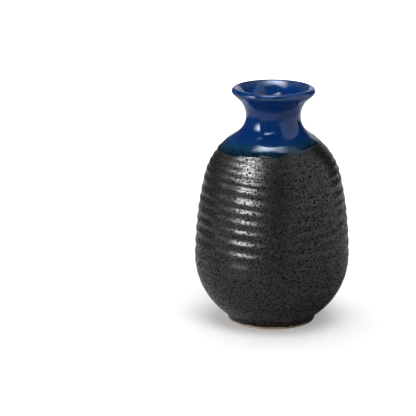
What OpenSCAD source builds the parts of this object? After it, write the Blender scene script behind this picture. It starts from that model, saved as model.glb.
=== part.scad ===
// Sake bottle (tokkuri): a thrown stoneware body with a turned foot ring, a black iron glaze
// on its belly and a cobalt blue glaze over its shoulder, neck and mouth.
// Millimetres, +Z up, origin at the centre of the foot on the surface that it stands on.

/* [Overall] */
// Height from the foot rim to the top of the lip
height = 130; // [126:0.5:138]
// Thickness of the fired wall with the glaze on both sides
wall = 4; // [3.4:0.1:4.6]
// Thickness of one coat of glaze
glaze = 0.5; // [0.3:0.05:0.8]

/* [Belly] */
// Radius of the belly at its widest
belly_r = 42.4; // [40:0.2:45]
// Height of the widest point
belly_z = 37; // [34:0.5:42]
// Meridian radius of the curve below the widest point
lower_arc_r = 40; // [38:0.5:44]
// Meridian radius of the long curve above the widest point
flank_arc_r = 200; // [150:5:260]
// Meridian radius of the shoulder
shoulder_arc_r = 35.5; // [32:0.5:38]

/* [Throwing rings] */
// Distance from one ring to the next
ring_pitch = 5.6; // [4.8:0.1:7]
// Depth of the groove between two rings
ring_depth = 0.5; // [0:0.05:0.7]

/* [Neck and lip] */
// Radius of the neck at its waist
neck_r = 15; // [13.5:0.1:16.5]
// Meridian radius of the waist
neck_arc_r = 12.6; // [11.5:0.1:14]
// Distance of the waist below the top of the lip
neck_drop = 15.5; // [14.5:0.1:17]
// Angle of the flaring mouth above the horizontal
flare_angle = 42; // [38:0.5:46]

/* [Foot] */
// Radius of the foot where it leaves the belly
foot_r = 24.5; // [23:0.1:25]
// Height of the foot
foot_h = 4.3; // [3.8:0.1:5]
// Inner radius of the foot ring
foot_inner_r = 18.5; // [16:0.1:20]
// Depth of the recess inside the foot ring
recess_h = 3; // [2.2:0.1:3.4]
// Height of the bare clay edge that the bottle stands on
bare_h = 1.1; // [0.8:0.1:1.4]

/* [Glaze lines] */
// Height of the upper edge of the black glaze, which the blue one hides
black_top = 102.4; // [100:0.2:103.4]
// Height of the blue dip line at the axis
dip_z = 97; // [95:0.2:98]
// Slope of the blue dip line, which rises towards +X
dip_tilt = 7; // [0:0.5:8]
// How far the blue glaze stands proud where it runs over the black
lap = 0.35; // [0.15:0.05:0.5]

/* [Hidden] */
$fn = 96;

foot_taper = 0.6;                   // loss of foot radius from its top to the bare edge
rim_chamfer = 1.2;                  // loss of foot radius over the bare edge
foot_step = 0.4;                    // height of the cut corner between foot and belly
floor_z = recess_h + 2 * glaze + 3.6;
lap_fade = 5.5;                     // height over which the blue coat thins above the black
ring_bottom = 8;                    // the throwing rings start here
ring_full = 34;                     // and have their whole depth from here up
ring_top = 98;                      // they fade out from here to the black glaze's edge
samples = 4;                        // outline points per throwing ring

// Centres of the meridian arcs. The shoulder arc touches the flank from inside and the neck
// from outside, so its centre is the corner of a triangle with known sides.
lower_c = [belly_r - lower_arc_r, belly_z];
flank_c = [belly_r - flank_arc_r, belly_z];
neck_c = [neck_r + neck_arc_r, height - neck_drop];
to_flank = flank_arc_r - shoulder_arc_r;
to_neck = shoulder_arc_r + neck_arc_r;
span = norm(neck_c - flank_c);
bearing = heading(neck_c - flank_c);
corner = acos((to_flank * to_flank + span * span - to_neck * to_neck) / (2 * to_flank * span));
shoulder_c = polar(flank_c, to_flank, bearing - corner);
shoulder_from = heading(shoulder_c - flank_c);
shoulder_to = heading(neck_c - shoulder_c);
shoulder_z = flank_c[1] + flank_arc_r * sin(shoulder_from);

// The lip is the rounded end of the flaring wall.
lip_r = wall / 2;
flare_end = polar(neck_c, neck_arc_r + lip_r, 90 + flare_angle);
flare_run = (height - lip_r - flare_end[1]) / sin(flare_angle);
lip_c = polar(flare_end, flare_run, flare_angle);

function polar(centre, r, angle) = centre + r * [cos(angle), sin(angle)];
function heading(v) = atan2(v[1], v[0]);
function clamp01(x) = max(0, min(1, x));
function backwards(list) = [for (i = [len(list) - 1 : -1 : 0]) list[i]];
function arc(centre, r, from, to, steps) =
    [for (i = [0 : steps]) polar(centre, r, from + (to - from) * i / steps)];

// How far the surface sinks between two throwing rings at height z
function groove(z) =
    ring_depth / 2 * (1 - cos(360 * (z - belly_z) / ring_pitch))
    * clamp01((z - ring_bottom) / (ring_full - ring_bottom))
    * clamp01((black_top - z) / (black_top - ring_top));

// A point of the belly's outline, depth millimetres below the glazed surface
function on_arc(centre, r, z, depth) =
    polar(centre, r - groove(z) - depth, asin((z - centre[1]) / r));
function on_belly(z, depth) =
    z < belly_z ? on_arc(lower_c, lower_arc_r, z, depth)
    : z < shoulder_z ? on_arc(flank_c, flank_arc_r, z, depth)
    : on_arc(shoulder_c, shoulder_arc_r, z, depth);
function belly(from, to, depth) =
    let (steps = round((to - from) / ring_pitch * samples))
    [for (i = [0 : steps]) on_belly(from + (to - from) * i / steps, depth)];

// The rest of the outside: end of the shoulder, waist of the neck, and the rounded lip
black_top_angle = asin((black_top - shoulder_c[1]) / shoulder_arc_r);
function shoulder_end(depth) =
    arc(shoulder_c, shoulder_arc_r - depth, black_top_angle, shoulder_to, 2);
function neck(depth) = arc(neck_c, neck_arc_r + depth, 180 + shoulder_to, 90 + flare_angle, 18);
function lip(depth) = arc(lip_c, lip_r - depth, flare_angle - 90, 90 + flare_angle, 12);

// The inside below the neck, down to where it meets the floor
function inside(depth, floor_height) = concat(
    arc(shoulder_c, shoulder_arc_r - depth, shoulder_to, shoulder_from, 10),
    arc(flank_c, flank_arc_r - depth, shoulder_from, 0, 6),
    arc(lower_c, lower_arc_r - depth, 0,
        asin((floor_height - lower_c[1]) / (lower_arc_r - depth)), 10),
    [[0, floor_height]]);

// The coat of blue glaze thins out above the edge of the black one.
function blue_skin() = [
    for (p = concat(shoulder_end(0), neck(0)))
        let (proud = lap * clamp01(1 - (p[1] - black_top) / lap_fade))
        p + proud * [cos(shoulder_to), sin(shoulder_to)]
];

module turned(outline) {
    rotate_extrude() polygon(outline);
}

module clay_body() {
    foot_in = foot_inner_r + glaze;
    foot_out = foot_r - foot_taper;
    color("rosybrown") turned(concat(
        [[0, recess_h + glaze], [foot_in, recess_h + glaze], [foot_in, bare_h]],
        [[foot_inner_r, bare_h], [foot_inner_r + rim_chamfer / 2, 0]],
        [[foot_out - rim_chamfer, 0], [foot_out, bare_h], [foot_out - glaze, bare_h]],
        [[foot_r - glaze, foot_h - foot_step]],
        belly(foot_h, black_top, glaze),
        shoulder_end(glaze),
        neck(glaze),
        lip(glaze),
        backwards(neck(wall - glaze)),
        inside(wall - glaze, floor_z - glaze)));
}

module black_glaze() {
    foot_out = foot_r - foot_taper;
    color("dimgray") turned(concat(
        [[foot_out, bare_h], [foot_r, foot_h - foot_step]],
        belly(foot_h, black_top, 0),
        backwards(belly(foot_h, black_top, glaze)),
        [[foot_r - glaze, foot_h - foot_step], [foot_out - glaze, bare_h]]));
}

// The outside of this coat is cut along the slanted line where the dipping stopped.
module blue_glaze() {
    reach = 2 * belly_r;
    dip_low = dip_z - 8;
    color("mediumblue") intersection() {
        turned(concat(
            belly(dip_low, black_top, -lap),
            blue_skin(),
            lip(0),
            backwards(neck(wall)),
            neck(wall - glaze),
            backwards(lip(glaze)),
            backwards(neck(glaze)),
            backwards(shoulder_end(glaze)),
            backwards(belly(dip_low, black_top, 0))));
        translate([0, 0, dip_z]) rotate([0, -dip_tilt, 0])
            translate([-reach / 2, -reach / 2, 0]) cube([reach, reach, height]);
    }
}

module inner_glaze() {
    color("darkslategray") turned(concat(
        inside(wall, floor_z),
        backwards(inside(wall - glaze, floor_z - glaze))));
}

module base_glaze() {
    color("black") turned([
        [0, recess_h],
        [foot_inner_r, recess_h],
        [foot_inner_r, bare_h],
        [foot_inner_r + glaze, bare_h],
        [foot_inner_r + glaze, recess_h + glaze],
        [0, recess_h + glaze]]);
}

clay_body();
black_glaze();
blue_glaze();
inner_glaze();
base_glaze();
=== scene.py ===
import math

import bpy
import numpy as np
from mathutils import Matrix, Vector


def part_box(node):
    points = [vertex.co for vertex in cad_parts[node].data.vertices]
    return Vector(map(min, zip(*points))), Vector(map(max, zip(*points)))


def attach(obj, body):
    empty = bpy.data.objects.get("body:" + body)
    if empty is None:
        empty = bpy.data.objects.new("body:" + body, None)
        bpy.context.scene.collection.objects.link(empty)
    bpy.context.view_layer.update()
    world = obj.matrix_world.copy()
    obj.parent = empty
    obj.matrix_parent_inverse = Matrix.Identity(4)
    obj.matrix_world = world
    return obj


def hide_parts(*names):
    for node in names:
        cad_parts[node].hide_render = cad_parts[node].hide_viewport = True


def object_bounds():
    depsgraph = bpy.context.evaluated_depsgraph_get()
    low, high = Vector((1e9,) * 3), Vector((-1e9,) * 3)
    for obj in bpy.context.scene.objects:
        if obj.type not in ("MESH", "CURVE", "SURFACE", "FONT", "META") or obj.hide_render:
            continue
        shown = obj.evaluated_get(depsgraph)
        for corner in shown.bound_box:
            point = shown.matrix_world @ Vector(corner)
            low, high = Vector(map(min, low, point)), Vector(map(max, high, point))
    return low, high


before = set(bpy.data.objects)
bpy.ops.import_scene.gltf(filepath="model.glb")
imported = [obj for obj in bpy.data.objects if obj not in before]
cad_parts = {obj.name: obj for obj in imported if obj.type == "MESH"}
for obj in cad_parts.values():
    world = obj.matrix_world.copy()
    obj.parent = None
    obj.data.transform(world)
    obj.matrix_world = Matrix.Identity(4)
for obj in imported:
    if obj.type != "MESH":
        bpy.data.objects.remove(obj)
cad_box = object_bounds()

MM = 0.001

# ---------------------------------------------------------------- sizes, as in the CAD part
HEIGHT = cad_box[1].z
BELLY_R = cad_box[1].x
BELLY_Z = 37 * MM
LOWER_ARC_R = 40 * MM
FLANK_ARC_R = 200 * MM
SHOULDER_ARC_R = 35.5 * MM
NECK_R = 15 * MM
NECK_ARC_R = 12.6 * MM
NECK_DROP = 15.5 * MM
FLARE_ANGLE = 42.0
WALL = 4 * MM
GLAZE = 0.5 * MM
LIP_R = WALL / 2
BARE_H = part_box("black_glaze")[0].z
FOOT_R = 24.5 * MM
FOOT_BASE_R = 23.9 * MM
RIM_R = 22.7 * MM
FOOT_INNER_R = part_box("base_glaze")[1].x - GLAZE
RECESS_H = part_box("base_glaze")[1].z - GLAZE
FLOOR_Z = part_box("inner_glaze")[0].z + GLAZE

# ---------------------------------------------------------------- where the glazes end
DIP_Z = 98 * MM                           # mean height of the blue glaze's lower edge
DIP_TILT = 2.9 * MM                       # it is this much higher at +X and lower at -X
BLACK_TOP_Z = 103.6 * MM                  # mean height of the black glaze's edge under the blue
LAP_THICK = 0.3 * MM                      # how far the blue glaze stands proud of the black
LAP_ROLL = 0.05 * MM                      # the extra bead along its edge
LAP_SQUEEZE = 0.78                        # its rounded edge is this much shorter up the wall
MERGE_Z = 109 * MM                        # the lap has levelled out here
# The two edges of the lip, as angles round it, and how wide the glaze is thin there
GLAZE_PULL = ((-4, 0.22 * MM), (FLARE_ANGLE + 94, 0.16 * MM))

# ---------------------------------------------------------------- mesh fineness
COLUMNS = 360
BODY_STEP = 0.62 * MM
NECK_STEP = 0.5 * MM
HIDDEN_STEP = 2.6 * MM
THETA = np.linspace(0, 2 * math.pi, COLUMNS, endpoint=False)[None, :]

# Height in mm of each ridge that the potter's fingers left, and depth of the groove above it
RINGS = (
    (6, 0), (12, 0.06), (19, 0.1), (26, 0.12), (32.5, 0.18), (37.5, 0.3), (44.5, 0.44),
    (51, 0.52), (57.3, 0.44), (62.8, 0.34), (68.4, 0.36), (73.3, 0.34), (79.8, 0.36),
    (84.6, 0.42), (88.4, 0.38), (91.8, 0.34), (95.2, 0.26), (100, 0.08), (105, 0),
)


# ---------------------------------------------------------------- surface of the thrown clay
def waves(theta, z, seed, terms, turns_max, z_length):
    """A smooth field of about -1 to 1 on the bottle: at most turns_max waves round it, and
    no shorter than z_length up it."""
    draw = np.random.default_rng(seed)
    total = 0
    for _ in range(terms):
        turns = draw.integers(1, turns_max + 1)
        rise = draw.uniform(-1, 1) * 2 * math.pi / z_length
        total = total + np.sin(turns * theta + rise * z + draw.uniform(0, 2 * math.pi))
    return total / math.sqrt(2 * terms)


def relief(theta, z):
    """How far the glazed surface lies outside the plain outline. It is never more than 0."""
    ridge_z = np.array([z for z, _ in RINGS]) * MM
    depths = np.array([d for _, d in RINGS]) * MM
    sway = -0.9 * MM * np.cos(2 * theta - 0.52)
    wander = sway + 0.4 * MM * waves(theta, z, 3, 5, 4, 60 * MM)
    climbed = np.clip(z + wander, ridge_z[0], ridge_z[-1])
    ridge = np.interp(climbed, ridge_z, np.arange(len(ridge_z)))
    uneven = 1 + 0.3 * waves(theta, z, 5, 6, 3, 40 * MM)
    depth = np.interp(climbed, ridge_z, depths) * np.clip(uneven, 0.3, 1.6)
    groove = 0.5 - 0.5 * np.cos(2 * math.pi * ridge)
    above_foot = np.clip((z - 6 * MM) / (20 * MM), 0, 1)
    below_neck = np.clip((115 * MM - z) / (30 * MM), 0, 1)
    wobble = 0.06 * MM * (1 + waves(theta, z, 9, 4, 3, 90 * MM).clip(-1, 1))
    return -depth * groove - wobble * above_foot * below_neck


def dip_line(theta):
    """Height at which the blue glaze ends. The bottle was dipped askew and the glaze ran."""
    askew = DIP_TILT * np.cos(theta) + 0.9 * MM * np.sin(2 * theta + 0.6)
    runs = 0.35 * MM * waves(theta, 0, 21, 8, 14, 1)
    return DIP_Z + askew + runs


def black_end(theta):
    """Height at which the black glaze ends under the blue one."""
    return BLACK_TOP_Z + 0.8 * MM * np.cos(theta)


def bare_line(theta):
    """Height at which the black glaze ends above the wiped foot rim."""
    return BARE_H + 0.15 * MM * (1 + waves(theta, 0, 33, 8, 12, 1).clip(-1, 1))


# ---------------------------------------------------------------- outline, as arcs in r and z
def polar(centre, r, degrees):
    angle = math.radians(degrees)
    return np.array([centre[0] + r * math.cos(angle), centre[1] + r * math.sin(angle)])


def heading(v):
    return math.degrees(math.atan2(v[1], v[0]))


LOWER_C = np.array([BELLY_R - LOWER_ARC_R, BELLY_Z])
FLANK_C = np.array([BELLY_R - FLANK_ARC_R, BELLY_Z])
NECK_C = np.array([NECK_R + NECK_ARC_R, HEIGHT - NECK_DROP])
# The shoulder arc touches the flank from inside and the neck from outside.
TO_FLANK = FLANK_ARC_R - SHOULDER_ARC_R
TO_NECK = SHOULDER_ARC_R + NECK_ARC_R
SPAN = math.dist(NECK_C, FLANK_C)
CORNER = math.degrees(math.acos((TO_FLANK**2 + SPAN**2 - TO_NECK**2) / (2 * TO_FLANK * SPAN)))
SHOULDER_C = polar(FLANK_C, TO_FLANK, heading(NECK_C - FLANK_C) - CORNER)
SHOULDER_FROM = heading(SHOULDER_C - FLANK_C)
SHOULDER_TO = heading(NECK_C - SHOULDER_C)
FLARE_END = polar(NECK_C, NECK_ARC_R + LIP_R, 90 + FLARE_ANGLE)
FLARE_RUN = (HEIGHT - LIP_R - FLARE_END[1]) / math.sin(math.radians(FLARE_ANGLE))
LIP_C = polar(FLARE_END, FLARE_RUN, FLARE_ANGLE)


def arc(centre, r, start, stop, step):
    """Points about step apart along an arc."""
    count = max(3, round(abs(math.radians(stop - start)) * r / step) + 1)
    return [polar(centre, r, a) for a in np.linspace(start, stop, count)]


def line(start, stop, step):
    count = max(2, round(math.dist(start, stop) / step) + 1)
    start, stop = np.array(start), np.array(stop)
    return [start + (stop - start) * t for t in np.linspace(0, 1, count)]


def bend(start, corner, stop, count=9):
    """A rounded corner."""
    start, corner, stop = np.array(start), np.array(corner), np.array(stop)
    ts = np.linspace(0, 1, count)
    return [(1 - t) ** 2 * start + 2 * t * (1 - t) * corner + t * t * stop for t in ts]


def joined(*stretches):
    """One path out of several, without repeated points."""
    path = [stretches[0][0]]
    for point in (p for stretch in stretches for p in stretch):
        if math.dist(point, path[-1]) > 1e-6:
            path.append(point)
    return np.array(path)


def normals(path):
    """Unit normals to the right of the direction of travel: outwards on the way up."""
    along = np.gradient(path, axis=0)
    along /= np.linalg.norm(along, axis=1)[:, None]
    return np.stack([along[:, 1], -along[:, 0]], axis=1)


def on_lower_arc(z, depth=0.0):
    r = LOWER_ARC_R - depth
    return polar(LOWER_C, r, math.degrees(math.asin((z - BELLY_Z) / r)))


def outside_path(step):
    """The glazed outside, from the edge of the bare foot rim up to the lip."""
    fillet_from = (FOOT_R - 0.12 * MM, 2.9 * MM)
    fillet_to = on_lower_arc(5 * MM)
    return joined(
        line((FOOT_BASE_R, BARE_H), fillet_from, step),
        bend(fillet_from, (FOOT_R, 3.75 * MM), fillet_to),
        arc(LOWER_C, LOWER_ARC_R, heading(fillet_to - LOWER_C), 0, step),
        arc(FLANK_C, FLANK_ARC_R, 0, SHOULDER_FROM, step),
        arc(SHOULDER_C, SHOULDER_ARC_R, SHOULDER_FROM, SHOULDER_TO, step),
        arc(NECK_C, NECK_ARC_R, 180 + SHOULDER_TO, 90 + FLARE_ANGLE, step),
        arc(LIP_C, LIP_R, FLARE_ANGLE - 90, 0, step),
    )


def lip_path(depth, step):
    """Over the lip from its outermost point, and down the funnel of the mouth."""
    return joined(
        arc(LIP_C, LIP_R - depth, 0, FLARE_ANGLE + 90, step),
        arc(NECK_C, NECK_ARC_R + WALL - depth, 90 + FLARE_ANGLE, 180 + SHOULDER_TO, step * 1.6),
    )


def cavity_path(depth, floor_z, step):
    """The inside, depth below the outline, from under the neck to the middle of the floor."""
    r = LOWER_ARC_R - depth
    wall_end = on_lower_arc(floor_z + 2.5 * MM, depth)
    floor_start = (wall_end[0] - 6 * MM, floor_z)
    return joined(
        arc(SHOULDER_C, SHOULDER_ARC_R - depth, SHOULDER_TO, SHOULDER_FROM, step),
        arc(FLANK_C, FLANK_ARC_R - depth, SHOULDER_FROM, 0, step),
        arc(LOWER_C, r, 0, heading(wall_end - LOWER_C), step),
        bend(wall_end, (wall_end[0] - 1.8 * MM, floor_z), floor_start),
        line(floor_start, (0.4 * MM, floor_z), step),
    )


OUTSIDE = outside_path(0.3 * MM)
OUTSIDE_NORMALS = normals(OUTSIDE)


def heights(step, low, high):
    """Heights of stations about step apart along the outside between low and high."""
    z = outside_path(step)[:, 1]
    return z[(z > low) & (z < high)][:, None]


# ---------------------------------------------------------------- meshes
def spun(r, z):
    """Points of a turned surface, one row per station and one column per azimuth."""
    r, z = np.broadcast_arrays(r, z, subok=False)
    r, z = np.broadcast_to(r, (len(r), COLUMNS)), np.broadcast_to(z, (len(z), COLUMNS))
    theta = np.broadcast_to(THETA, r.shape)
    return np.stack([r * np.cos(theta), r * np.sin(theta), z], axis=-1)


def turned(path):
    """A path of the section, turned without any relief."""
    return spun(path[:, :1], path[:, 1:])


def outside(z, out):
    """The outside with its throwing rings, at heights z, moved out along its normal."""
    z = z + 0 * THETA
    r = np.interp(z, OUTSIDE[:, 1], OUTSIDE[:, 0])
    normal_r = np.interp(z, OUTSIDE[:, 1], OUTSIDE_NORMALS[:, 0])
    normal_z = np.interp(z, OUTSIDE[:, 1], OUTSIDE_NORMALS[:, 1])
    lift = relief(THETA, z) + out
    return spun(r + normal_r * lift, z + normal_z * lift)


def piece(name, node, rows, capped=False):
    """A closed mesh through rows of points, in place of a CAD node. Its section is a loop, or
    one that starts and ends on the axis if it is capped."""
    rows = np.concatenate(rows)
    count = len(rows)
    index = np.arange(count * COLUMNS).reshape(count, COLUMNS)
    across = np.roll(index, -1, axis=1)
    last = count - 1 if capped else count
    loop = [index, across, np.roll(across, -1, axis=0), np.roll(index, -1, axis=0)]
    faces = np.stack([corner[:last] for corner in loop], axis=-1).reshape(-1, 4).tolist()
    points = rows.reshape(-1, 3)
    if capped:
        poles = [[0, 0, rows[0, :, 2].mean()], [0, 0, rows[-1, :, 2].mean()]]
        faces += [[b, a, len(points)] for a, b in zip(index[0].tolist(), across[0].tolist())]
        faces += [[a, b, len(points) + 1] for a, b in zip(index[-1].tolist(), across[-1].tolist())]
        points = np.vstack([points, poles])
    mesh = bpy.data.meshes.new(name)
    mesh.from_pydata(points.tolist(), [], faces)
    turn_outwards(mesh)
    mesh.shade_smooth()
    mesh.set_sharp_from_angle(angle=math.radians(50))
    made = bpy.data.objects.new(name, mesh)
    bpy.context.scene.collection.objects.link(made)
    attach(made, "root")
    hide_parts(node)
    return made


def turn_outwards(mesh):
    """Flips the faces if the mesh is inside out, which its signed volume tells."""
    mesh.calc_loop_triangles()
    points = np.empty(len(mesh.vertices) * 3)
    corners = np.empty(len(mesh.loop_triangles) * 3, int)
    mesh.vertices.foreach_get("co", points)
    mesh.loop_triangles.foreach_get("vertices", corners)
    a, b, c = points.reshape(-1, 3)[corners.reshape(-1, 3)].transpose(1, 0, 2)
    if np.einsum("ij,ij->", a, np.cross(b, c)) < 0:
        mesh.flip_normals()


def note(made, name, values):
    """A number per point of the mesh, for its material to read."""
    values = np.asarray(values, np.float32).ravel()
    layer = made.data.attributes.new(name, "FLOAT", "POINT")
    spare = len(made.data.vertices) - len(values)
    layer.data.foreach_set("value", np.pad(values, (0, spare)))


def rolled(run, reach):
    """Share of its full thickness that a glaze has at a distance from its rounded edge."""
    return np.sqrt(1 - (1 - np.clip(run / reach, 0, 1)) ** 2)


# Value of over_black, which runs from 0 to 1 up the lap, on the rest of the blue glaze
NOT_OVER_BLACK = 3.0
# Distances of the first rows of points from a rounded glaze edge
EDGE_RUN = np.array([0.02, 0.06, 0.12, 0.2, 0.32, 0.48, 0.7, 0.95, 1.25])[:, None] * MM


def black_coat():
    low, high = bare_line(THETA), black_end(THETA)
    foot_roll = 0.45 * MM
    above_edge, below_end = 2 * MM, BLACK_TOP_Z - 1.6 * MM
    foot_rows = low + EDGE_RUN[:6]
    belly = heights(BODY_STEP, above_edge - 0.05 * MM, below_end + 0.5 * MM)
    hidden = heights(HIDDEN_STEP, above_edge, below_end)[::-1]
    rows = [
        outside(foot_rows, -GLAZE * (1 - rolled(foot_rows - low, foot_roll))),
        outside(belly, 0),
        outside(high, 0),
        outside(high, -GLAZE),
        outside(hidden, -GLAZE),
        outside(low, -GLAZE),
    ]
    return piece("black_glaze_coat", "black_glaze", rows)


def lap_rows_of(low):
    """Heights of the rows from the blue glaze's edge to where its lap has levelled out."""
    nose = low + EDGE_RUN * LAP_SQUEEZE
    share = np.linspace(0, 1, 24)[1:, None]
    return np.concatenate([low, nose, nose[-1:] + (MERGE_Z - nose[-1:]) * share])


def lap_proud(lap_rows, low, high):
    """How far the lap stands out: rounded at its edge, and fading away above the black glaze."""
    run = (lap_rows - low) / LAP_SQUEEZE
    level = np.clip((MERGE_Z - lap_rows) / (MERGE_Z - high), 0, 1)
    thick = LAP_THICK + LAP_ROLL * np.exp(-(((run - 1.2 * MM) / (1.2 * MM)) ** 2))
    return thick * rolled(run, 0.8 * MM) * level * level * (3 - 2 * level)


def pulled_thin(points):
    """1 on the two edges of the lip, where the glaze draws back, falling to 0 beside them."""
    r = np.hypot(points[..., 0], points[..., 1])
    thin = np.zeros(r.shape)
    for angle, spread in GLAZE_PULL:
        edge = polar(LIP_C, LIP_R, angle)
        thin += np.exp(-((np.hypot(r - edge[0], points[..., 2] - edge[1]) / spread) ** 2))
    return thin


def blue_coat():
    low, high = dip_line(THETA), black_end(THETA)
    lap_rows = lap_rows_of(low)
    lap = outside(lap_rows, lap_proud(lap_rows, low, high))
    neck = outside(heights(NECK_STEP, MERGE_Z + 0.2 * MM, LIP_C[1] - 0.1 * MM), 0)
    mouth = turned(lip_path(0, NECK_STEP))
    under_neck = heights(HIDDEN_STEP / 2, 104.8 * MM, LIP_C[1] - 0.2 * MM)[::-1]
    under_lap = low + (high - low) * np.linspace(1, 0.1, 6)[:, None]
    rows = [
        lap,
        neck,
        mouth,
        turned(lip_path(GLAZE, HIDDEN_STEP / 2)[::-1]),
        outside(under_neck, -GLAZE),
        outside(high, -GLAZE),
        outside(under_lap, -0.03 * MM),
    ]
    made = piece("blue_glaze_coat", "blue_glaze", rows)
    count = sum(len(r) for r in rows)
    over_black = np.full((count, COLUMNS), NOT_OVER_BLACK)
    over_black[: len(lap)] = (lap_rows - low) / (high - low)
    note(made, "over_black", over_black)
    lip = np.concatenate([neck, mouth])
    thin = np.zeros((count, COLUMNS))
    thin[len(lap) : len(lap) + len(lip)] = pulled_thin(lip)
    note(made, "thin", thin)
    return made


def clay():
    foot_out = FOOT_BASE_R - 0.1 * MM
    pad_in = FOOT_INNER_R + 0.9 * MM
    recess_r = FOOT_INNER_R + GLAZE
    recess_top = RECESS_H + GLAZE
    underside = joined(
        line((0.4 * MM, recess_top), (recess_r, recess_top), HIDDEN_STEP),
        line((recess_r, recess_top), (recess_r, BARE_H), HIDDEN_STEP),
        bend((FOOT_INNER_R + GLAZE * 0.4, BARE_H), (FOOT_INNER_R + 0.2 * MM, 0), (pad_in, 0)),
        line((pad_in, 0), (RIM_R, 0), 0.6 * MM),
        bend((RIM_R, 0), (FOOT_BASE_R - 0.25 * MM, 0.1 * MM), (foot_out, BARE_H)),
    )
    rim = (underside[:, 0] > FOOT_INNER_R) & (underside[:, 1] < RECESS_H)
    grit = waves(THETA, underside[:, 1:], 41, 9, 60, 4 * MM) * 0.06 * MM * rim[:, None]
    chip = grit.clip(0, None)
    bare = spun(underside[:, :1] - chip, underside[:, 1:] + chip)
    rows = [
        bare,
        outside(heights(HIDDEN_STEP / 3, 1.5 * MM, 6 * MM), -GLAZE),
        outside(heights(HIDDEN_STEP, 6 * MM, LIP_C[1] - 0.3 * MM), -GLAZE),
        turned(lip_path(GLAZE, HIDDEN_STEP / 2)[:-1]),
        turned(cavity_path(WALL - GLAZE, FLOOR_Z - GLAZE, HIDDEN_STEP)),
    ]
    return piece("clay_body_thrown", "clay_body", rows, capped=True)


def liner():
    rows = [
        turned(cavity_path(WALL, FLOOR_Z, 1.2 * MM)[::-1]),
        turned(cavity_path(WALL - GLAZE, FLOOR_Z - GLAZE, HIDDEN_STEP)),
    ]
    return piece("liner_glaze_coat", "inner_glaze", rows, capped=True)


def foot_glaze():
    corner = (FOOT_INNER_R, RECESS_H)
    seen = joined(
        line((0.4 * MM, RECESS_H), (FOOT_INNER_R - 1.2 * MM, RECESS_H), 0.8 * MM),
        bend((FOOT_INNER_R - 1.2 * MM, RECESS_H), corner, (FOOT_INNER_R, RECESS_H - 1.2 * MM)),
        line((FOOT_INNER_R, RECESS_H - 1.2 * MM), (FOOT_INNER_R, BARE_H), 0.4 * MM),
    )
    top = RECESS_H + GLAZE
    side = FOOT_INNER_R + GLAZE
    back = joined(
        line((side, BARE_H), (side, top), 1 * MM),
        line((side, top), (0.4 * MM, top), HIDDEN_STEP),
    )
    rows = [turned(seen), turned(back)]
    return piece("foot_glaze_coat", "base_glaze", rows, capped=True)


# ---------------------------------------------------------------- materials
def material(name):
    made = bpy.data.materials.new(name)
    made.use_nodes = True
    made.node_tree.nodes.clear()
    return made, made.node_tree


def add(tree, kind, inputs=None, **settings):
    """A shader node. An input is a number, a colour, or the output socket of another node."""
    node = tree.nodes.new("ShaderNode" + kind)
    for key, value in settings.items():
        setattr(node, key, value)
    for key, value in (inputs or {}).items():
        if isinstance(value, bpy.types.NodeSocket):
            tree.links.new(value, node.inputs[key])
        else:
            node.inputs[key].default_value = value
    return node


def maths(tree, operation, *values):
    return add(tree, "Math", dict(enumerate(values)), operation=operation).outputs[0]


def ramp(tree, value, low, high, to_low=0.0, to_high=1.0):
    """value carried smoothly from between low and high to between to_low and to_high."""
    inputs = {"Value": value, "From Min": low, "From Max": high}
    inputs |= {"To Min": to_low, "To Max": to_high}
    return add(tree, "MapRange", inputs, interpolation_type="SMOOTHSTEP").outputs[0]


def mix(tree, factor, a, b):
    node = tree.nodes.new("ShaderNodeMix")
    node.data_type = "RGBA"
    for index, value in ((0, factor), (6, a), (7, b)):
        if isinstance(value, bpy.types.NodeSocket):
            tree.links.new(value, node.inputs[index])
        else:
            node.inputs[index].default_value = value
    return node.outputs[2]


def noise(tree, vector, scale, detail=3.0, rough=0.5):
    inputs = {"Vector": vector, "Scale": scale, "Detail": detail, "Roughness": rough}
    return add(tree, "TexNoise", inputs).outputs["Fac"]


def stretched(tree, vector, scale):
    return add(tree, "Mapping", {"Vector": vector, "Scale": scale}).outputs[0]


def bump(tree, height, distance, strength=1.0, normal=None):
    inputs = {"Height": height, "Distance": distance, "Strength": strength}
    if normal is not None:
        inputs["Normal"] = normal
    return add(tree, "Bump", inputs).outputs[0]


def principled(tree, **inputs):
    """A glossy shader. The words of an input's name are joined with underscores."""
    return add(tree, "BsdfPrincipled", {k.replace("_", " "): v for k, v in inputs.items()})


def show(tree, shader):
    output = tree.nodes.new("ShaderNodeOutputMaterial")
    tree.links.new(shader.outputs[0], output.inputs[0])


def surface(tree, **inputs):
    show(tree, principled(tree, **inputs))


def grey(level):
    return (level, level, level, 1)


def pits(tree, place):
    """Small ragged pits in the black glaze: 1 in a pit, 0 on the level surface."""
    ragged = maths(tree, "MULTIPLY", noise(tree, place, 1600, 2.0, 0.6), 0.25)
    field = maths(tree, "MULTIPLY", noise(tree, place, 1000, 2.0, 0.55), 0.75)
    return ramp(tree, maths(tree, "ADD", field, ragged), 0.482, 0.436)


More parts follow.
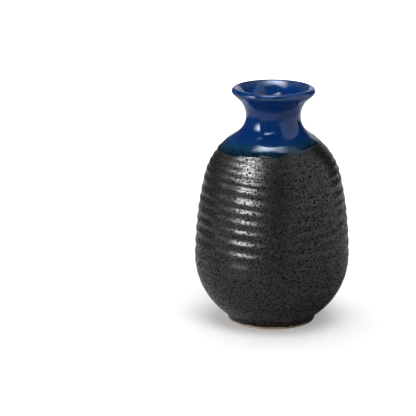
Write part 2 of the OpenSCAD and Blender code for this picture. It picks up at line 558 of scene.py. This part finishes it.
def pitted_glaze(name, light, dark, gloss, pit_depth):
    """A glaze whose level parts shine, with small dull pits between them."""
    made, tree = material(name)
    place = add(tree, "TexCoord").outputs["Object"]
    pit = pits(tree, place)
    cloud = noise(tree, place, 60, 3.0)
    grain = noise(tree, place, 2600, 2.0)
    dulled = ramp(tree, pit, 0, 1, gloss, 0.5)
    rough = maths(tree, "ADD", dulled, maths(tree, "MULTIPLY", grain, 0.1))
    normal = bump(tree, maths(tree, "SUBTRACT", 1.0, pit), pit_depth, 0.6)
    normal = bump(tree, grain, 0.02 * MM, 0.4, normal)
    colour = mix(tree, cloud, dark, light)
    level = principled(
        tree, Base_Color=colour, Roughness=rough, Normal=normal, Specular_IOR_Level=0.5,
    )
    hollow = principled(
        tree, Base_Color=grey(0.0012), Roughness=0.9, Normal=normal, Specular_IOR_Level=0.05,
    )
    show(tree, add(tree, "MixShader", {0: pit, 1: level.outputs[0], 2: hollow.outputs[0]}))
    return made


def black_glaze_material():
    light, dark = (0.0035, 0.0035, 0.0037, 1), grey(0.002)
    return pitted_glaze("black_iron_glaze", light, dark, 0.23, 0.06 * MM)


def over_black_colour(tree, place, fleck, pure):
    """Pure blue where the glaze lies on the clay. Down the lap, where it lies over the black
    glaze, it turns to teal in streaks, and black specks show through."""
    over = add(tree, "Attribute", attribute_name="over_black").outputs["Fac"]
    streak = noise(tree, stretched(tree, place, (1, 1, 2.2)), 330, 3.0, 0.6)
    uneven = maths(tree, "MULTIPLY", maths(tree, "SUBTRACT", streak, 0.5), 1.1)
    wavy = maths(tree, "ADD", over, uneven)
    edge_colour, teal_colour = (0.001, 0.003, 0.005, 1), (0.006, 0.036, 0.085, 1)
    teal = mix(tree, ramp(tree, wavy, -0.1, 0.6), edge_colour, teal_colour)
    colour = mix(tree, ramp(tree, wavy, 0.5, 1.15), teal, pure)
    low_down = ramp(tree, wavy, 1.0, 0.3, 0, 0.9)
    speck = maths(tree, "MULTIPLY", ramp(tree, fleck, 0.49, 0.57), low_down)
    return mix(tree, speck, colour, (0.001, 0.002, 0.003, 1))


def blue_glaze_material():
    made, tree = material("cobalt_blue_glaze")
    place = add(tree, "TexCoord").outputs["Object"]
    fleck = noise(tree, place, 1100, 2.0, 0.6)
    cloud = noise(tree, place, 90, 2.0)
    pure = mix(tree, cloud, (0.0016, 0.025, 0.12, 1), (0.0028, 0.036, 0.17, 1))
    pure = mix(tree, ramp(tree, fleck, 0.47, 0.62, 0, 0.8), pure, (0.003, 0.01, 0.05, 1))
    colour = over_black_colour(tree, place, fleck, pure)
    thin = add(tree, "Attribute", attribute_name="thin").outputs["Fac"]
    patchy = ramp(tree, noise(tree, place, 420, 3.0), 0.3, 0.55, 0.25, 1.0)
    colour = mix(tree, maths(tree, "MULTIPLY", thin, patchy), colour, (0.07, 0.1, 0.1, 1))
    rough = maths(tree, "ADD", 0.06, maths(tree, "MULTIPLY", fleck, 0.05))
    normal = bump(tree, cloud, 0.12 * MM, 0.5)
    normal = bump(tree, fleck, 0.01 * MM, 0.3, normal)
    surface(
        tree, Base_Color=colour, Roughness=rough, Normal=normal, Specular_IOR_Level=0.45,
        Specular_Tint=(0.7, 0.8, 1, 1),
    )
    return made


def clay_material():
    made, tree = material("stoneware")
    place = add(tree, "TexCoord").outputs["Object"]
    grit = noise(tree, place, 1500, 4.0, 0.65)
    cloud = noise(tree, place, 140, 2.0)
    colour = mix(tree, cloud, (0.17, 0.12, 0.085, 1), (0.3, 0.23, 0.17, 1))
    colour = mix(tree, ramp(tree, grit, 0.58, 0.7), colour, (0.08, 0.05, 0.035, 1))
    normal = bump(tree, grit, 0.12 * MM, 0.8)
    surface(tree, Base_Color=colour, Roughness=0.85, Normal=normal, Specular_IOR_Level=0.25)
    return made


def liner_material():
    made, tree = material("dark_liner_glaze")
    place = add(tree, "TexCoord").outputs["Object"]
    cloud = noise(tree, place, 70, 3.0)
    fleck = noise(tree, place, 900, 2.0)
    colour = mix(tree, cloud, (0.006, 0.01, 0.02, 1), (0.012, 0.022, 0.05, 1))
    colour = mix(tree, ramp(tree, fleck, 0.56, 0.66), colour, (0.004, 0.004, 0.005, 1))
    rough = ramp(tree, fleck, 0.3, 0.7, 0.12, 0.3)
    normal = bump(tree, cloud, 0.15 * MM, 0.4)
    surface(tree, Base_Color=colour, Roughness=rough, Normal=normal, Specular_IOR_Level=0.35)
    return made


def foot_glaze_material():
    return pitted_glaze("black_base_glaze", grey(0.01), grey(0.005), 0.3, 0.1 * MM)


for build, look in (
    (clay, clay_material),
    (black_coat, black_glaze_material),
    (blue_coat, blue_glaze_material),
    (liner, liner_material),
    (foot_glaze, foot_glaze_material),
):
    build().data.materials.append(look())

# ---------------------------------------------------------------- stage, lights and camera
AIM = Vector((0, 0, 0.06))                # the lights' distances are from here, and they face it
FADED = 1.9                               # a softbox ends at this many times its width and height
BOX_SIDES = 48
PANEL_X = 0.42
ROOM_R = 5.0
ROOM_H = 5.0
ROOM_SIDES = 64
# The paper's own glow is painted light, which grows between these distances from the bottle
GLOW_FROM, GLOW_TO = 0.12, 0.6            # paper's own light changes between these distances

BLUE = ("blue_glaze_coat", "liner_glaze_coat")
DARK = ("black_glaze_coat", "clay_body_thrown", "foot_glaze_coat", "paper_sweep")
FLOOR = ("studio_floor",)

# Name, azimuth and elevation in degrees, distance, brightness, width and height in degrees, slide
# along X, and what it shines on. The dull black glaze needs a wider key light than the blue.
SOFTBOXES = (
    ("key_light", -55, 22, 1.3, 42, 23, 11, 0, DARK),
    ("key_upper", -58, 56, 1.3, 46, 19, 10, 0, DARK),
    ("key_spot", -56, 22, 1.3, 26, 16, 13, 0, BLUE),
    ("key_glint", -27, 60, 1.3, 14, 20, 10, 0, BLUE),
    ("overhead_strip", 180, 86, 1.2, 24, 13, 6, -0.1, BLUE + DARK),
    ("floor_wash", 0, 80, 1.2, 4.9, 60, 42, 0, FLOOR),
)


def towards(azimuth, elevation, distance):
    """A point seen from the bottle: azimuth from the camera's side towards +X."""
    a, e = math.radians(azimuth), math.radians(elevation)
    unit = Vector((math.sin(a) * math.cos(e), -math.cos(a) * math.cos(e), math.sin(e)))
    return AIM + unit * distance


def look_at(obj, place, target):
    turn = (target - place).to_track_quat("-Z", "Y").to_matrix().to_4x4()
    obj.matrix_world = Matrix.Translation(place) @ turn


def staged(name, points, faces, look):
    """A mesh of the studio, which isn't part of the bottle."""
    mesh = bpy.data.meshes.new(name)
    mesh.from_pydata(points, [], faces)
    mesh.materials.append(look)
    made = bpy.data.objects.new(name, mesh)
    bpy.context.scene.collection.objects.link(made)
    return made


def glow(name, strength, fall=None):
    """Light as bright all over, or with a bright middle that fades over the two lengths of fall."""
    look, tree = material(name)
    power = strength
    if fall is not None:
        place = add(tree, "TexCoord").outputs["Object"]
        scaled = stretched(tree, place, (1 / fall[0], 1 / fall[1], 1))
        dot = add(tree, "VectorMath", {0: scaled, 1: scaled}, operation="DOT_PRODUCT")
        minus_square = maths(tree, "MULTIPLY", dot.outputs["Value"], -1.0)
        power = maths(tree, "MULTIPLY", maths(tree, "EXPONENT", minus_square), strength)
    show(tree, add(tree, "Emission", {"Strength": power}))
    return look


def unseen(made):
    """A light that shines on things and is mirrored in them, and doesn't hide them in any view."""
    made.visible_camera = False
    made.visible_shadow = False


def ring(across, up, sides):
    """The corners of a flat shape with many sides, as wide and high as an ellipse."""
    spokes = [2 * math.pi * k / sides for k in range(sides)]
    return [(across * math.cos(a), up * math.sin(a), 0) for a in spokes]


def softbox(name, azimuth, elevation, distance, strength, width, height, slide):
    """A flat light that faces the bottle, moved along X by slide. From its middle it fades over
    its width and height, given in degrees as seen from the bottle."""
    across, up = (distance * math.tan(math.radians(a)) for a in (width, height))
    points = ring(FADED * across, FADED * up, BOX_SIDES)
    made = staged(name, points, [list(range(BOX_SIDES))], glow(name, strength, (across, up)))
    look_at(made, towards(azimuth, elevation, distance), AIM)
    made.matrix_world = Matrix.Translation((slide, 0, 0)) @ made.matrix_world
    unseen(made)


def side_panel():
    """A white board on the right, whose reflection has straight edges."""
    outline = ((-1.2, 0.0), (-0.57, 0.67), (-0.18, 1.32), (0.2, 1.32), (0.2, 0.0))
    points = [(PANEL_X, y, z) for y, z in outline]
    unseen(staged("side_panel", points, [list(range(len(points)))], glow("panel_glow", 1.0)))


def paper(name, shade, painted_glow_near, painted_glow_far):
    """Pale paper with a painted glow of its own: a little near the bottle, and more away from it.
    """
    look, tree = material(name)
    place = add(tree, "TexCoord").outputs["Object"]
    cloud = noise(tree, place, 3, 2.0)
    colour = mix(tree, cloud, grey(shade - 0.01), grey(shade + 0.01))
    far = add(tree, "VectorMath", {0: place}, operation="LENGTH").outputs["Value"]
    # Painted light: the paper glows of itself, weaker near the bottle and stronger away from it
    power = ramp(tree, far, GLOW_FROM, GLOW_TO, painted_glow_near, painted_glow_far)
    surface(
        tree, Base_Color=colour, Roughness=0.9, Specular_IOR_Level=0.1,
        Emission_Color=(1, 1, 1, 1), Emission_Strength=power,
    )
    return look


def paper_sweep():
    """A roll of grey paper under and behind the bottle, which the glaze mirrors. The camera
    doesn't see it, and it lies just under the floor that the camera sees."""
    front, back, top = -0.4, 1.5, 0.8
    left, right = -0.34, 0.7
    under = -0.6 * MM
    fold = bend((1.2, 0), (back, 0), (back, 0.3))
    fold[0][1] = under
    section = [(front, under)] + [tuple(p) for p in fold] + [(back, top)]
    points = [(x, y, z) for y, z in section for x in (left, right)]
    faces = [[2 * k, 2 * k + 1, 2 * k + 3, 2 * k + 2] for k in range(len(section) - 1)]
    # The sweep's painted glow is none near the bottle and grows away from it, brightening its
    # reflection in the glaze
    sweep = staged("paper_sweep", points, faces, paper("sweep_paper", 0.22, 0.0, 0.5))
    sweep.visible_camera = False


def white_room():
    """The wide white floor, and the wall round it, that the camera sees."""
    disc = ring(ROOM_R, ROOM_R, ROOM_SIDES)
    top = [(x, y, ROOM_H) for x, y, _ in disc]
    # The floor's painted glow lightens its real shadow near the bottle, and grows away from it
    look = paper("floor_paper", 0.8, 0.31, 0.8)
    ground = staged("studio_floor", disc, [list(range(ROOM_SIDES))], look)
    pairs = [(k, (k + 1) % ROOM_SIDES) for k in range(ROOM_SIDES)]
    faces = [[a, b, ROOM_SIDES + b, ROOM_SIDES + a] for a, b in pairs]
    wall = staged("studio_wall", disc + top, faces, glow("wall_glow", 1.0))
    for seen in (ground, wall):
        seen.visible_glossy = False
        seen.visible_diffuse = False
        seen.visible_shadow = False


def shine_on(name, receivers):
    """Lets a light reach only the meshes that are named."""
    reached = bpy.data.collections.new("lit_by_" + name)
    for receiver in receivers:
        reached.objects.link(bpy.data.objects[receiver])
    bpy.data.objects[name].light_linking.receiver_collection = reached


paper_sweep()
white_room()
side_panel()
for *numbers, lit in SOFTBOXES:
    softbox(*numbers)
    shine_on(numbers[0], lit)
shine_on("side_panel", BLUE + DARK)

scene = bpy.context.scene
scene.view_settings.view_transform = "Standard"
scene.world = bpy.data.worlds.new("studio_room")
scene.world.use_nodes = True
room_light = scene.world.node_tree.nodes["Background"].inputs["Color"]
room_light.default_value = (0.04, 0.04, 0.042, 1)

camera_data = bpy.data.cameras.new("camera")
camera = bpy.data.objects.new("camera", camera_data)
scene.collection.objects.link(camera)
camera_data.lens = 220.4
camera_data.sensor_width = 36
eye = Vector((0, -1.35, 0.413))
aim = Vector((-0.0352, 0, 0.0621))
roll = math.radians(0.241)
look_at(camera, eye, aim)
camera.matrix_world = camera.matrix_world @ Matrix.Rotation(roll, 4, "Z")
scene.camera = camera
